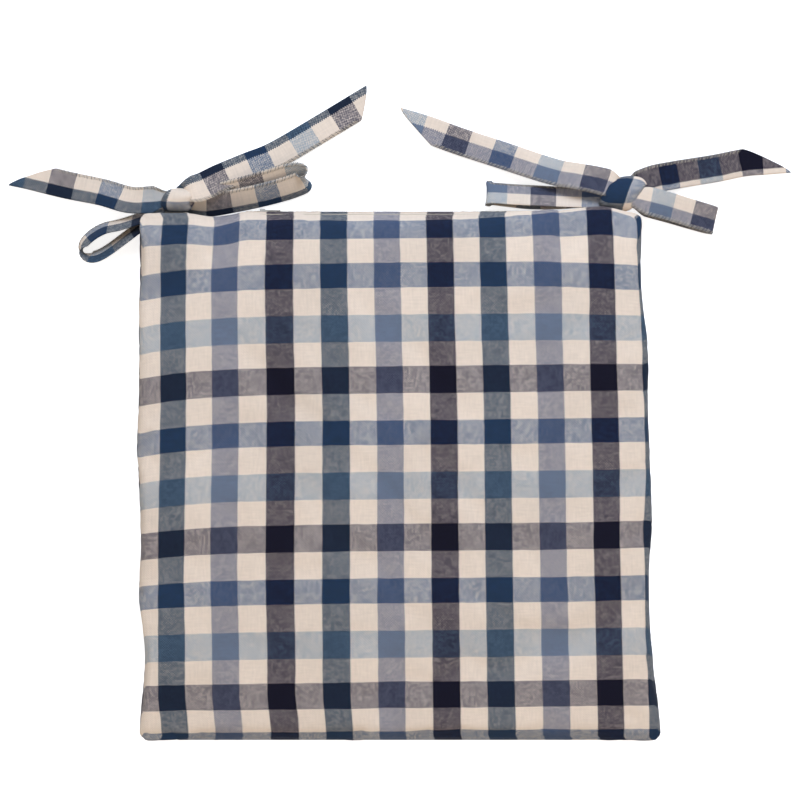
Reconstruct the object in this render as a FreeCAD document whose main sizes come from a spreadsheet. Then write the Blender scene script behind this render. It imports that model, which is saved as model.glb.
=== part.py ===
"""Chair seat pad: a foam slab in a zipped cover, with a strap tied in a bow at each back corner.

Millimetres. The origin is the middle of the underside, +Z is up and +Y points to the back edge, where the
ties are. The pad lies on a flat surface, and so do the loops and tails of both bows.
"""

import FreeCAD, Part
import math
import os
import re

import Sketcher
from FreeCAD import Vector

# Driving dimensions, in millimetres and degrees. Every sub-part is bound to these cells.
SIZES = {
    # pad
    "pad_front_width": 402,
    "pad_back_width": 390,
    "pad_depth": 408,
    "pad_height": 40,
    "corner_radius": 14,
    "top_edge_radius": 10,
    "bottom_edge_radius": 7,
    "seam_height": 20,
    "cover_thickness": 1.0,
    "fit_gap": 0.3,
    "overcut": 1.0,
    # zip in the back seam
    "zip_length": 220,
    "zip_slit_height": 8,
    "slit_end": 2,
    "tape_end": 3,
    "tape_margin": 0.5,
    "tape_thickness": 0.6,
    "tape_split": 0.3,
    "tape_groove_depth": 2.6,
    "tape_groove_margin": 1,
    "coil_height": 2.4,
    "coil_depth": 1.6,
    "coil_split": 0.1,
    "stop_length": 2.2,
    "stop_height": 4.4,
    "slider_length": 11,
    "slider_height": 7,
    "slider_depth": 1.5,
    "slider_gap": 0.3,
    "lug_length": 4.4,
    "lug_height": 1.6,
    "lug_depth": 2.2,
    "pivot_radius": 0.5,
    "pivot_clearance": 0.3,
    "pull_length": 14,
    "pull_height": 4.8,
    "pull_thickness": 0.8,
    "pull_window": 4.2,
    "pull_arm": 0.9,
    "pull_rounding": 1.6,
    # care label in the left side seam
    "label_length": 34,
    "label_height": 16,
    "label_thickness": 0.4,
    "label_gap": 0.5,
    "label_place": 58,
    # straps
    "tie_width": 22,
    "tie_thickness": 1.6,
    "tie_inset": 23,
    "root_thickness": 3.0,
    "bartack_length": 18,
    "bartack_width": 1.0,
    "bartack_height": 0.4,
    "floor_gap": 0.3,
    "knot_gap": 3.0,
    "knot_height": 21,
    "knot_rise": 2.5,
    "knot_rounding": 5.5,
    "left_knot_width": 22,
    "left_knot_depth": 15.5,
    "right_knot_width": 28,
    "right_knot_depth": 25,
    "left_knot_shift": 2,
    "right_knot_shift": 4,
}

# Tails: side of the knot they leave (-1 left, 1 right), gap to the knot, how far they lap over their loop's
# back edge, rise above the knot's middle and that loop's standing width, heading seen from above, full length,
# run of the drape down to the floor for each millimetre it falls, and the slanting end: the edge that is cut
# back (1 left of the heading, -1 right), by how much, and where the point stands across the strap as a share of
# its half width.
TAILS = {
    "left_outer_tail": dict(
        side=-1, out=3, lap=13.06, rise=-10.05, heading=168.8, length=126, drape=2.303, cut=-1, cut_back=36, point=1
    ),
    "left_inner_tail": dict(
        side=1, out=4.5, lap=8.31, rise=-2.56, heading=27.8, length=161, drape=3.372, cut=-1, cut_back=17, point=0.5
    ),
    "right_inner_tail": dict(
        side=-1, out=3.5, lap=10.2, rise=4.48, heading=160.8, length=167, drape=3.473, cut=1, cut_back=38, point=-1
    ),
    "right_outer_tail": dict(
        side=1, out=2.5, lap=7.02, rise=-7, heading=10, length=119, drape=3.611, cut=1, cut_back=31, point=-1
    ),
}

# Loops: as the tails, with the place of the front edge behind the knot's middle, the radius of the folded end,
# the neck between the two strands at the knot and the lean of the strap's width away from upright. They stand on
# the floor all along, except one with a rise above the knot's middle, which slopes down from there.
LOOPS = {
    "left_outer_loop": dict(
        side=-1, out=5, front=-3.77, heading=209.9, length=74, end_radius=5.2, neck=4.6, lean=30
    ),
    "left_inner_loop": dict(
        side=1, out=2.5, front=-7.58, heading=13, length=87, end_radius=7.5, neck=4.6, lean=45
    ),
    "right_inner_loop": dict(
        side=-1, out=2, front=-11.81, heading=175.9, length=90, end_radius=6.5, neck=4.6, lean=70
    ),
    "right_outer_loop": dict(
        side=1, out=4.5, front=-14.19, heading=-13.6, length=59, end_radius=3.6, neck=4.6, lean=90, rise=2.15
    ),
}


def tie_of(name):
    """Which of the two straps a tail or loop belongs to."""
    return name.split("_")[0]


# Each strap's middle, measured in from the back corner; the zip's tapes fill the straight part of the wall.
TIE_X = "(pad_back_width / 2 - tie_inset)"
TAPE_HEIGHT = (
    "(min(pad_height - top_edge_radius - seam_height; seam_height - bottom_edge_radius) - tape_margin)"
)

doc = FreeCAD.newDocument("seat_pad")
sheet = doc.addObject("Spreadsheet::Sheet", "Sizes")
subparts = []


def fill_sheet():
    """Write every driving dimension as a named cell, the straps' own ones after the shared ones."""
    rows = dict(SIZES)
    for name, spec in {**TAILS, **LOOPS}.items():
        rows.update({f"{name}_{key}": number for key, number in spec.items()})
    for row, (alias, number) in enumerate(rows.items(), start=1):
        sheet.set(f"A{row}", alias)
        sheet.set(f"B{row}", str(number))
        sheet.setAlias(f"B{row}", alias)
    doc.recompute()
    return set(rows)


ALIASES = fill_sheet()


def cells(text):
    """An expression on the sheet's cells, from one that uses their bare names."""
    return re.sub(r"[A-Za-z_]\w*", lambda m: f"Sizes.{m[0]}" if m[0] in ALIASES else m[0], str(text))


def value(text):
    """The present value of an expression on the sheet's cells."""
    return float(sheet.evalExpression(cells(text)))


def bind(thing, prop, text):
    thing.setExpression(prop, cells(text))


def bind_place(thing, x, y, z):
    for axis, text in zip("xyz", (x, y, z)):
        bind(thing, f"Placement.Base.{axis}", text)


def bind_turned_place(thing, place, heading, pitch, roll):
    """Bind the whole placement: the place, then the turns about Z, Y and X in degrees."""
    vector = f"vector({'; '.join(place)})"
    bind(thing, "Placement", f"placement({vector}; rotation({heading}; {pitch}; {roll}))")


def new_body(name):
    body = doc.addObject("PartDesign::Body", name)
    body.Label = name
    subparts.append(body)
    return body


def new_sketch(body, name, role, offset=None):
    """A sketch on one of the body's own origin planes, raised along the plane's normal."""
    sketch = body.newObject("Sketcher::SketchObject", name)
    plane = next(f for f in body.Origin.OriginFeatures if f.Role == role)
    sketch.AttachmentSupport = [(plane, "")]
    sketch.MapMode = "FlatFace"
    if offset is not None:
        bind(sketch, "AttachmentOffset.Base.z", offset)
    doc.recompute()
    return sketch


def distance(sketch, kind, geometry, point, text):
    """Hold a point at a bound distance from the sketch's origin, along X or Y."""
    if str(text) == "0":
        axis = -2 if kind == "DistanceX" else -1
        sketch.addConstraint(Sketcher.Constraint("PointOnObject", geometry, point, axis))
        return
    index = sketch.addConstraint(Sketcher.Constraint(kind, -1, 1, geometry, point, value(text)))
    bind(sketch, f"Constraints[{index}]", text)


def outline(sketch, corners):
    """A closed straight-sided outline. Each corner is a pair of expressions."""
    points = [Vector(value(x), value(y), 0) for x, y in corners]
    count = len(points)
    for i in range(count):
        sketch.addGeometry(Part.LineSegment(points[i], points[(i + 1) % count]))
    for i in range(count):
        sketch.addConstraint(Sketcher.Constraint("Coincident", i, 2, (i + 1) % count, 1))
    for i, (x, y) in enumerate(corners):
        distance(sketch, "DistanceX", i, 1, x)
        distance(sketch, "DistanceY", i, 1, y)


def pad_feature(body, kind, sketch, length=None, midplane=False):
    """A Pad or Pocket of the sketch. A pocket has to take something away."""
    before = body.Tip.Shape.Volume if body.Tip else 0
    feature = body.newObject(f"PartDesign::{kind}", f"{body.Name}_{kind.lower()}")
    feature.Profile = sketch
    feature.SideType = "Symmetric" if midplane else "One side"
    if length is None:
        feature.Type = "ThroughAll"
    else:
        bind(feature, "Length", length)
    doc.recompute()
    if kind == "Pocket" and not feature.Shape.Volume < before:
        raise ValueError(f"{feature.Name} cuts nothing")
    return feature


def box(body, kind, corner, size):
    """An additive or subtractive box, given by its lowest corner and its size as expressions."""
    before = body.Tip.Shape.Volume if body.Tip else 0
    feature = body.newObject(f"PartDesign::{kind}Box", f"{body.Name}_{kind.lower()}_box")
    bind_place(feature, *corner)
    for prop, text in zip(("Length", "Width", "Height"), size):
        bind(feature, prop, text)
    doc.recompute()
    if kind == "Subtractive" and not feature.Shape.Volume < before:
        raise ValueError(f"{feature.Name} cuts nothing")
    return feature


def round_edges(body, radius, chosen):
    """Fillet the edges that chosen(edge) picks on the body's present shape."""
    base = body.Tip
    names = [f"Edge{i}" for i, edge in enumerate(base.Shape.Edges, start=1) if chosen(edge)]
    fillet = body.newObject("PartDesign::Fillet", f"{body.Name}_fillet")
    fillet.Base = (base, names)
    bind(fillet, "Radius", radius)
    doc.recompute()
    return fillet


def upright(edge):
    ends = [v.Point for v in edge.Vertexes]
    return len(ends) == 2 and (ends[0] - ends[1]).cross(Vector(0, 0, 1)).Length < 1e-6


def level_with(height):
    """True for an edge that lies all along at this height."""
    return lambda edge: all(abs(v.Z - value(height)) < 1e-6 for v in edge.Vertexes)


def pad_block(body, inset, low, high):
    """The tapered pad's block, its sides moved in by inset, with rounded corners."""
    front = f"(pad_front_width / 2 - {inset})"
    rear = f"(pad_back_width / 2 - {inset})"
    side = f"(pad_depth / 2 - {inset})"
    sketch = new_sketch(body, f"{body.Name}_plan", "XY_Plane", low)
    outline(
        sketch,
        [(f"-{front}", f"-{side}"), (front, f"-{side}"), (rear, side), (f"-{rear}", side)],
    )
    pad_feature(body, "Pad", sketch, f"{high} - {low}")
    round_edges(body, f"corner_radius - {inset}", upright)


# ---- foam and cover ----


def make_foam_core():
    body = new_body("foam_core")
    inset = "(cover_thickness + fit_gap)"
    top = f"(pad_height - {inset})"
    pad_block(body, inset, inset, top)
    round_edges(body, f"top_edge_radius - {inset}", level_with(top))
    round_edges(body, f"bottom_edge_radius - {inset}", level_with(inset))
    # the zip's tapes press a shallow groove into the back wall
    box(
        body,
        "Subtractive",
        (
            "-zip_length / 2 - tape_end - tape_groove_margin",
            f"pad_depth / 2 - {inset} - tape_groove_depth",
            f"seam_height - {TAPE_HEIGHT} - tape_groove_margin",
        ),
        (
            "zip_length + 2 * tape_end + 2 * tape_groove_margin",
            "tape_groove_depth + overcut",
            f"2 * {TAPE_HEIGHT} + 2 * tape_groove_margin",
        ),
    )


def slot_in_back_wall(body, middle, width, height):
    """A slot through the cover's back wall, centred on the seam."""
    box(
        body,
        "Subtractive",
        (
            f"{middle} - ({width}) / 2",
            "pad_depth / 2 - cover_thickness - overcut",
            f"seam_height - ({height}) / 2",
        ),
        (width, "cover_thickness + 2 * overcut", height),
    )


def make_cover(name, low, high, closed_at, radius, hollow_low, hollow_high):
    """Half of the cover: a shell open at the seam, with slots for the zip and the two straps."""
    block = doc.addObject("PartDesign::Body", f"{name}_block")
    pad_block(block, "0", low, high)
    round_edges(block, radius, level_with(closed_at))
    slot_in_back_wall(block, "0", "zip_length + 2 * stop_length + 2 * slit_end", "zip_slit_height")
    for sign in ("-", ""):
        slot_in_back_wall(
            block, f"{sign}{TIE_X}", "tie_width + 2 * fit_gap", "root_thickness + 2 * fit_gap"
        )
    hollow = doc.addObject("PartDesign::Body", f"{name}_hollow")
    pad_block(hollow, "cover_thickness", hollow_low, hollow_high)
    closed_inside = hollow_high if closed_at == high else hollow_low
    round_edges(hollow, f"{radius} - cover_thickness", level_with(closed_inside))
    cover = doc.addObject("Part::Cut", name)
    cover.Base = block
    cover.Tool = hollow
    cover.Label = name
    subparts.append(cover)


# ---- zip ----

TAPE_Y = "(pad_depth / 2 - cover_thickness - fit_gap - tape_thickness)"
COIL_Y = f"({TAPE_Y} + tape_thickness)"
SLIDER_Y = f"({COIL_Y} + coil_depth + slider_gap)"
PIVOT_Y = f"({SLIDER_Y} + slider_depth + pivot_radius + pivot_clearance)"
SLIDER_X = "(slider_length / 2 - zip_length / 2)"


def make_zip_tapes():
    for name, low in (
        ("zip_upper_tape", "seam_height + tape_split / 2"),
        ("zip_lower_tape", f"seam_height - tape_split / 2 - {TAPE_HEIGHT}"),
    ):
        box(
            new_body(name),
            "Additive",
            ("-zip_length / 2 - tape_end", TAPE_Y, low),
            ("zip_length + 2 * tape_end", "tape_thickness", TAPE_HEIGHT),
        )


def make_zip_coils():
    for name, low in (
        ("zip_upper_coil", "seam_height + coil_split / 2"),
        ("zip_lower_coil", "seam_height - coil_split / 2 - coil_height"),
    ):
        body = new_body(name)
        box(
            body,
            "Additive",
            ("-zip_length / 2", COIL_Y, low),
            ("zip_length", "coil_depth", "coil_height"),
        )
        front = value(f"{COIL_Y} + coil_depth")
        round_edges(
            body,
            "coil_depth / 2",
            lambda edge: edge.Length > value("zip_length") / 2
            and all(abs(v.Y - front) < 1e-6 for v in edge.Vertexes),
        )


def make_zip_stops():
    top = new_body("zip_top_stops")
    for low in ("seam_height + coil_split", "seam_height - coil_split - stop_height / 2"):
        box(
            top,
            "Additive",
            ("-zip_length / 2 - fit_gap - stop_length", COIL_Y, low),
            ("stop_length", "coil_depth", "stop_height / 2"),
        )
    box(
        new_body("zip_bottom_stop"),
        "Additive",
        ("zip_length / 2 + fit_gap", COIL_Y, "seam_height - stop_height / 2"),
        ("stop_length", "coil_depth", "stop_height"),
    )


def make_zip_slider():
    """The slider's front shell with the lug that holds the pull tab."""
    body = new_body("zip_slider")
    box(
        body,
        "Additive",
        (f"{SLIDER_X} - slider_length / 2", SLIDER_Y, "seam_height - slider_height / 2"),
        ("slider_length", "slider_depth", "slider_height"),
    )
    front = value(f"{SLIDER_Y} + slider_depth")
    round_edges(body, "slider_depth / 2", lambda edge: all(abs(v.Y - front) < 1e-6 for v in edge.Vertexes))
    box(
        body,
        "Additive",
        (
            f"{SLIDER_X} - lug_length / 2",
            f"{SLIDER_Y} + slider_depth / 2",
            "seam_height - lug_height / 2",
        ),
        ("lug_length", "lug_depth + slider_depth / 2", "lug_height"),
    )
    eye = body.newObject("PartDesign::SubtractiveCylinder", "zip_slider_eye")
    bind(eye, "Radius", "pivot_radius + pivot_clearance")
    bind(eye, "Height", "2 * lug_height")
    bind_place(eye, SLIDER_X, PIVOT_Y, "seam_height - lug_height")
    doc.recompute()


def make_zip_pull_tab():
    """A flat tab with a window round the lug, closed by a round bar that turns in the lug's eye."""
    body = new_body("zip_pull_tab")
    box(
        body,
        "Additive",
        (SLIDER_X, f"{PIVOT_Y} - pull_thickness / 2", "seam_height - pull_height / 2"),
        ("pull_length", "pull_thickness", "pull_height"),
    )
    far = value(f"{SLIDER_X} + pull_length")
    round_edges(
        body,
        "pull_rounding",
        lambda edge: abs(edge.Length - value("pull_thickness")) < 1e-6
        and all(abs(v.X - far) < 1e-6 for v in edge.Vertexes),
    )
    box(
        body,
        "Subtractive",
        (
            f"{SLIDER_X} - overcut",
            f"{PIVOT_Y} - pull_thickness",
            "seam_height - pull_height / 2 + pull_arm",
        ),
        ("overcut + pull_window", "2 * pull_thickness", "pull_height - 2 * pull_arm"),
    )
    bar = body.newObject("PartDesign::AdditiveCylinder", "zip_pull_tab_bar")
    bind(bar, "Radius", "pivot_radius")
    bind(bar, "Height", "pull_height")
    bind_place(bar, SLIDER_X, PIVOT_Y, "seam_height - pull_height / 2")
    doc.recompute()


# ---- care label ----


def make_care_label():
    """A blank flap that hangs from the left side seam, flat against the slanting wall."""
    body = new_body("care_label")
    box(
        body,
        "Additive",
        ("-label_gap - label_thickness", "-label_length / 2", "-label_height"),
        ("label_thickness", "label_length", "label_height"),
    )
    slope = "(pad_front_width - pad_back_width) / 2 / pad_depth"
    half_width = f"(pad_back_width / 2 + (pad_depth / 2 - label_place) * {slope})"
    place = (f"-{half_width}", "label_place", "seam_height - fit_gap")
    bind_turned_place(body, place, f"-atan({slope})", "0", "0")


# ---- ties ----


def knot_middle(tie):
    """The middle of a knot as three expressions, snug behind the wall at its strap's root."""
    sign = "-" if tie == "left" else ""
    return (
        f"({sign}{TIE_X} + {tie}_knot_shift)",
        f"(pad_depth / 2 + knot_gap + {tie}_knot_depth / 2)",
        "(seam_height + knot_rise)",
    )


def make_tie_root(tie, sign):
    """The stub of the strap between the seam and the knot, and the dense stitching across it."""
    middle = f"{sign}{TIE_X}"
    box(
        new_body(f"{tie}_tie_root"),
        "Additive",
        (
            f"{middle} - tie_width / 2",
            "pad_depth / 2 - cover_thickness - fit_gap",
            "seam_height - root_thickness / 2",
        ),
        ("tie_width", "cover_thickness + fit_gap + knot_gap", "root_thickness"),
    )
    box(
        new_body(f"{tie}_tie_bartack"),
        "Additive",
        (
            f"{middle} - bartack_length / 2",
            "pad_depth / 2 + fit_gap",
            "seam_height + root_thickness / 2",
        ),
        ("bartack_length", "bartack_width", "bartack_height"),
    )


def make_knot(tie):
    body = new_body(f"{tie}_knot")
    x, y, z = knot_middle(tie)
    size = (f"{tie}_knot_width", f"{tie}_knot_depth", "knot_height")
    corner = [f"{middle} - {length} / 2" for middle, length in zip((x, y, z), size)]
    box(body, "Additive", corner, size)
    front = value(corner[1])
    round_edges(body, "knot_rounding", lambda edge: not all(abs(v.Y - front) < 1e-6 for v in edge.Vertexes))


def strap_start(name):
    """Where a strap leaves its knot, seen from above. A tail starts behind the loop that it lies beside."""
    x, y, _ = knot_middle(tie_of(name))
    loop = name.replace("tail", "loop")
    loop_half = f"tie_width / 2 * sin({loop}_lean * 1deg) * abs(cos({loop}_heading * 1deg))"
    back = f"{loop}_front + {loop_half}"
    if name in TAILS:
        back += f" + {loop_half} - {name}_lap + tie_width / 2 * abs(cos({name}_heading * 1deg))"
    return f"{x} + {name}_side * ({tie_of(name)}_knot_width / 2 + {name}_out)", f"{y} + {back}"


def make_tail(name):
    """A strap that drapes from the knot to the floor in two equal arcs and lies flat to its slanting end."""
    body = new_body(name)
    loop = name.replace("tail", "loop")
    start = f"seam_height + knot_rise + {name}_rise + tie_width * cos({loop}_lean * 1deg)"
    drop = f"({start} - floor_gap - tie_thickness / 2)"
    height, run, length = value(drop), value(f"{name}_drape * {drop}"), value(f"{name}_length")
    radius = (run * run + height * height) / (4 * height)
    turn = 2 * math.atan(height / run)

    path = new_sketch(body, f"{name}_path", "XZ_Plane")
    up = Vector(0, 0, 1)
    top, bottom = math.pi / 2, math.pi * 3 / 2
    first = Part.Circle(Vector(0, height - radius, 0), up, radius)
    second = Part.Circle(Vector(run, radius, 0), up, radius)
    path.addGeometry(Part.ArcOfCircle(first, top - turn, top))
    path.addGeometry(Part.ArcOfCircle(second, bottom - turn, bottom))
    path.addGeometry(Part.LineSegment(Vector(run, 0, 0), Vector(length, 0, 0)))
    path.addConstraint(
        [
            Sketcher.Constraint("Tangent", 0, 1, 1, 1),
            Sketcher.Constraint("PointOnObject", 0, 2, -2),
            Sketcher.Constraint("PointOnObject", 0, 3, -2),
            Sketcher.Constraint("PointOnObject", 1, 2, -1),
            Sketcher.Constraint("Vertical", 1, 3, 1, 2),
            Sketcher.Constraint("Equal", 0, 1),
            Sketcher.Constraint("Coincident", 2, 1, 1, 2),
            Sketcher.Constraint("PointOnObject", 2, 2, -1),
        ]
    )
    distance(path, "DistanceY", 0, 2, drop)
    distance(path, "DistanceX", 1, 2, f"{name}_drape * {drop}")
    distance(path, "DistanceX", 2, 2, f"{name}_length")

    section = new_sketch(body, f"{name}_section", "YZ_Plane")
    low, high = f"({drop} - tie_thickness / 2)", f"({drop} + tie_thickness / 2)"
    outline(
        section,
        [
            ("-tie_width / 2", low),
            ("tie_width / 2", low),
            ("tie_width / 2", high),
            ("-tie_width / 2", high),
        ],
    )
    pipe = body.newObject("PartDesign::AdditivePipe", f"{name}_strap")
    pipe.Profile = section
    pipe.Spine = path
    doc.recompute()

    end = new_sketch(body, f"{name}_end", "XY_Plane")
    outline(
        end,
        [
            (f"{name}_length - {name}_cut_back", f"{name}_cut * (tie_width / 2 + overcut)"),
            (f"{name}_length + overcut", f"{name}_cut * (tie_width / 2 + overcut)"),
            (f"{name}_length + overcut", f"{name}_point * tie_width / 2"),
            (f"{name}_length", f"{name}_point * tie_width / 2"),
        ],
    )
    pad_feature(body, "Pocket", end, midplane=True)

    place = (*strap_start(name), "floor_gap + tie_thickness / 2")
    bind_turned_place(body, place, f"{name}_heading", "0", "0")


def teardrop(sketch, length, radius, neck):
    """A long drop: two straight strands from the neck, tangent to a round end."""
    end_x, end_r, half = value(f"{length} - {radius}"), value(radius), value(f"{neck} / 2")
    reach = math.acos(end_r / math.hypot(end_x, half))
    open_angle = math.pi - math.atan(half / end_x) - reach
    arc = Part.ArcOfCircle(
        Part.Circle(Vector(end_x, 0, 0), Vector(0, 0, 1), end_r), -open_angle, open_angle
    )
    sketch.addGeometry(Part.LineSegment(Vector(0, -half, 0), arc.StartPoint))
    sketch.addGeometry(arc)
    sketch.addGeometry(Part.LineSegment(arc.EndPoint, Vector(0, half, 0)))
    sketch.addGeometry(Part.LineSegment(Vector(0, half, 0), Vector(0, -half, 0)))
    sketch.addConstraint(
        [
            Sketcher.Constraint("Coincident", 2, 2, 3, 1),
            Sketcher.Constraint("Coincident", 3, 2, 0, 1),
            Sketcher.Constraint("PointOnObject", 1, 3, -1),
            Sketcher.Constraint("PointOnObject", 0, 1, -2),
            Sketcher.Constraint("PointOnObject", 2, 2, -2),
        ]
    )
    distance(sketch, "DistanceX", 1, 3, f"{length} - {radius}")
    distance(sketch, "DistanceY", 0, 1, f"-{neck} / 2")
    distance(sketch, "DistanceY", 2, 2, f"{neck} / 2")
    index = sketch.addConstraint(Sketcher.Constraint("Radius", 1, end_r))
    bind(sketch, f"Constraints[{index}]", radius)
    sketch.addConstraint(Sketcher.Constraint("Tangent", 0, 2, 1, 1))
    sketch.addConstraint(Sketcher.Constraint("Tangent", 1, 2, 2, 1))


def make_loop(name, spec):
    """A strap that runs out from the knot, folds over its round end and comes back."""
    body = new_body(name)
    whole = new_sketch(body, f"{name}_outside", "XY_Plane")
    teardrop(whole, f"{name}_length", f"{name}_end_radius", f"{name}_neck")
    pad_feature(body, "Pad", whole, "tie_width", midplane=True)
    hollow = new_sketch(body, f"{name}_inside", "XY_Plane")
    teardrop(
        hollow,
        f"({name}_length - tie_thickness)",
        f"({name}_end_radius - tie_thickness)",
        f"({name}_neck - 2 * tie_thickness)",
    )
    pad_feature(body, "Pocket", hollow, midplane=True)

    height = f"(tie_width / 2 * cos({name}_lean * 1deg) + {name}_end_radius * sin({name}_lean * 1deg))"
    pitch = "0"
    if "rise" in spec:
        drop = f"(seam_height + knot_rise + {name}_rise - floor_gap - {height})"
        height, pitch = f"{height} + {drop}", f"asin({drop} / ({name}_length - {name}_end_radius))"
    place = (*strap_start(name), f"floor_gap + {height}")
    bind_turned_place(body, place, f"{name}_heading", pitch, f"-{name}_lean")


def check_document():
    """Stop if any object failed to build, or a sub-part has no sound shape."""
    doc.recompute()
    for thing in doc.Objects:
        if {"Invalid", "Error"} & set(thing.State):
            raise ValueError(f"{thing.Name} failed: {thing.State}")
    for subpart in subparts:
        shape = subpart.Shape
        if shape.isNull() or not shape.isValid() or not shape.Solids:
            raise ValueError(f"{subpart.Label} has no sound shape")


make_foam_core()
make_cover(
    "top_cover",
    low="seam_height",
    high="pad_height",
    closed_at="pad_height",
    radius="top_edge_radius",
    hollow_low="(seam_height - cover_thickness)",
    hollow_high="(pad_height - cover_thickness)",
)
make_cover(
    "bottom_cover",
    low="0",
    high="seam_height",
    closed_at="0",
    radius="bottom_edge_radius",
    hollow_low="cover_thickness",
    hollow_high="(seam_height + cover_thickness)",
)
make_zip_tapes()
make_zip_coils()
make_zip_stops()
make_zip_slider()
make_zip_pull_tab()
make_care_label()
for tie, sign in (("left", "-"), ("right", "")):
    make_tie_root(tie, sign)
    make_knot(tie)
for name in TAILS:
    make_tail(name)
for name, spec in LOOPS.items():
    make_loop(name, spec)
check_document()

os.makedirs("parts", exist_ok=True)
for subpart in subparts:
    subpart.Shape.exportStep(f"parts/{subpart.Label}.step")
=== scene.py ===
"""Looks of the chair seat pad: checked cotton cover, bows, zip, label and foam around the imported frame.

Metres, in the frame of the design: the origin is the middle of the underside and +Y is the edge with the ties.
"""

import math

import bmesh
import bpy
import numpy as np
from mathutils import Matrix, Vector


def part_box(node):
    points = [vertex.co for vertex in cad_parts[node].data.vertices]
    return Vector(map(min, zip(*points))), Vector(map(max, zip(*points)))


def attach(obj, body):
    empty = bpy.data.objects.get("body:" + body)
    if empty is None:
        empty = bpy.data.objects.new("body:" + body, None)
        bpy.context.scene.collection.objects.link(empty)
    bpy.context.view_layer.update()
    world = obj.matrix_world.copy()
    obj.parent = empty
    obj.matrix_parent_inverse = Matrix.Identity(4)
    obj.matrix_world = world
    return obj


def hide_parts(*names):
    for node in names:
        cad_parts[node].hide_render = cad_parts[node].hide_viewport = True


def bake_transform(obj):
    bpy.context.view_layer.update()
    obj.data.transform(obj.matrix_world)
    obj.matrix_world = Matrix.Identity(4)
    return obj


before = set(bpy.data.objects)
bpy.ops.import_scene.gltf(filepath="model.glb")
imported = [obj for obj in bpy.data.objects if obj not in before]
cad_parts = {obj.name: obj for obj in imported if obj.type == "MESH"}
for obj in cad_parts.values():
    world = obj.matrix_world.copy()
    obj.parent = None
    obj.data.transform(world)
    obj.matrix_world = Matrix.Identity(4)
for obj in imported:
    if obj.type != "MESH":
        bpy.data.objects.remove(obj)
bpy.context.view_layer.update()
MM = 0.001

# ---- the cloth: a yarn-dyed plain weave check ----

STRIPE = 20.56 * MM  # width of a warp stripe
ROW = 20.08 * MM  # width of a weft stripe
THREAD = STRIPE / 22  # real threads are half as wide and would not show
WANDER = 1.1 * MM  # how far a stripe's edge wanders from a ruled line
WANDER_LENGTH = 9 * MM
FLECK = 1.2 * MM  # size of a fleck in the heather
HEATHER = 0.27  # how unevenly warp and weft yarns show
SLUB_WIDTH = 1.5 * MM
SLUB_SQUEEZE = 0.14  # a slub's width as a share of its length
CROSSING = 0.3  # how far the warp's share swings from thread to thread
SLUB_SHARE = 0.16  # how much of the crossing yarn a thick one hides
CLOUD = 70 * MM  # size of the faint paler and darker clouds in the dye
WARP = ("#243344", "#EAD9C7", "#666A7B", "#EAD9C7", "#141220", "#EAD9C7")
# one run of weft stripes, from the back towards the front
RUN = ("#16182A", "#EAD9C7", "#243E64", "#EAD9C7", "#70889E", "#EAD9C7")
WEFT = RUN * 3 + ("#243E64", *RUN[1:])  # the row nearest to the back edge is blue where the run would give navy
WARP_SHARE = 0.604  # how much of the warp shows on the face
EYE = 3.4  # dark yarns weigh more for the eye where they cross light ones
WAVE_LENGTH = 0.314  # what one band of a wave texture takes in metres at scale 1


def linear(colour):
    """An sRGB hex colour as linear RGBA."""
    parts = [int(colour[i : i + 2], 16) / 255 for i in (1, 3, 5)]
    return (*(c / 12.92 if c <= 0.04045 else ((c + 0.055) / 1.055) ** 2.4 for c in parts), 1.0)


def add(tree, kind, inputs=(), **settings):
    """Add a shader node. inputs maps a socket's name or number to a value, a socket, or a node's first output."""
    made = tree.nodes.new(kind)
    for key, setting in settings.items():
        setattr(made, key, setting)
    for key, source in dict(inputs).items():
        if isinstance(source, bpy.types.Node):
            source = source.outputs[0]
        if isinstance(source, bpy.types.NodeSocket):
            tree.links.new(source, made.inputs[key])
        else:
            made.inputs[key].default_value = source
    return made


def new_material(name, **surface):
    """A material with its shader's constant sockets set."""
    material = bpy.data.materials.new(name)
    material.use_nodes = True
    tree = material.node_tree
    shader = tree.nodes["Principled BSDF"]
    for key, setting in surface.items():
        shader.inputs[key.replace("_", " ").title().replace("Ior", "IOR")].default_value = setting
    return material, tree, shader


def stripes(tree, place, width, colours):
    """The colour of a repeating run of stripes along one direction of the cloth."""
    turns = add(tree, "ShaderNodeMath", {0: place, 1: width * len(colours)}, operation="DIVIDE")
    share = add(tree, "ShaderNodeMath", {0: turns}, operation="FRACT")
    ramp = add(tree, "ShaderNodeValToRGB", {0: share})
    ramp.color_ramp.interpolation = "CONSTANT"
    for i, colour in enumerate(colours):
        stop = ramp.color_ramp.elements[i] if i < 2 else ramp.color_ramp.elements.new(i / len(colours))
        stop.position = i / len(colours)
        stop.color = linear(colour)
    return ramp


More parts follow.
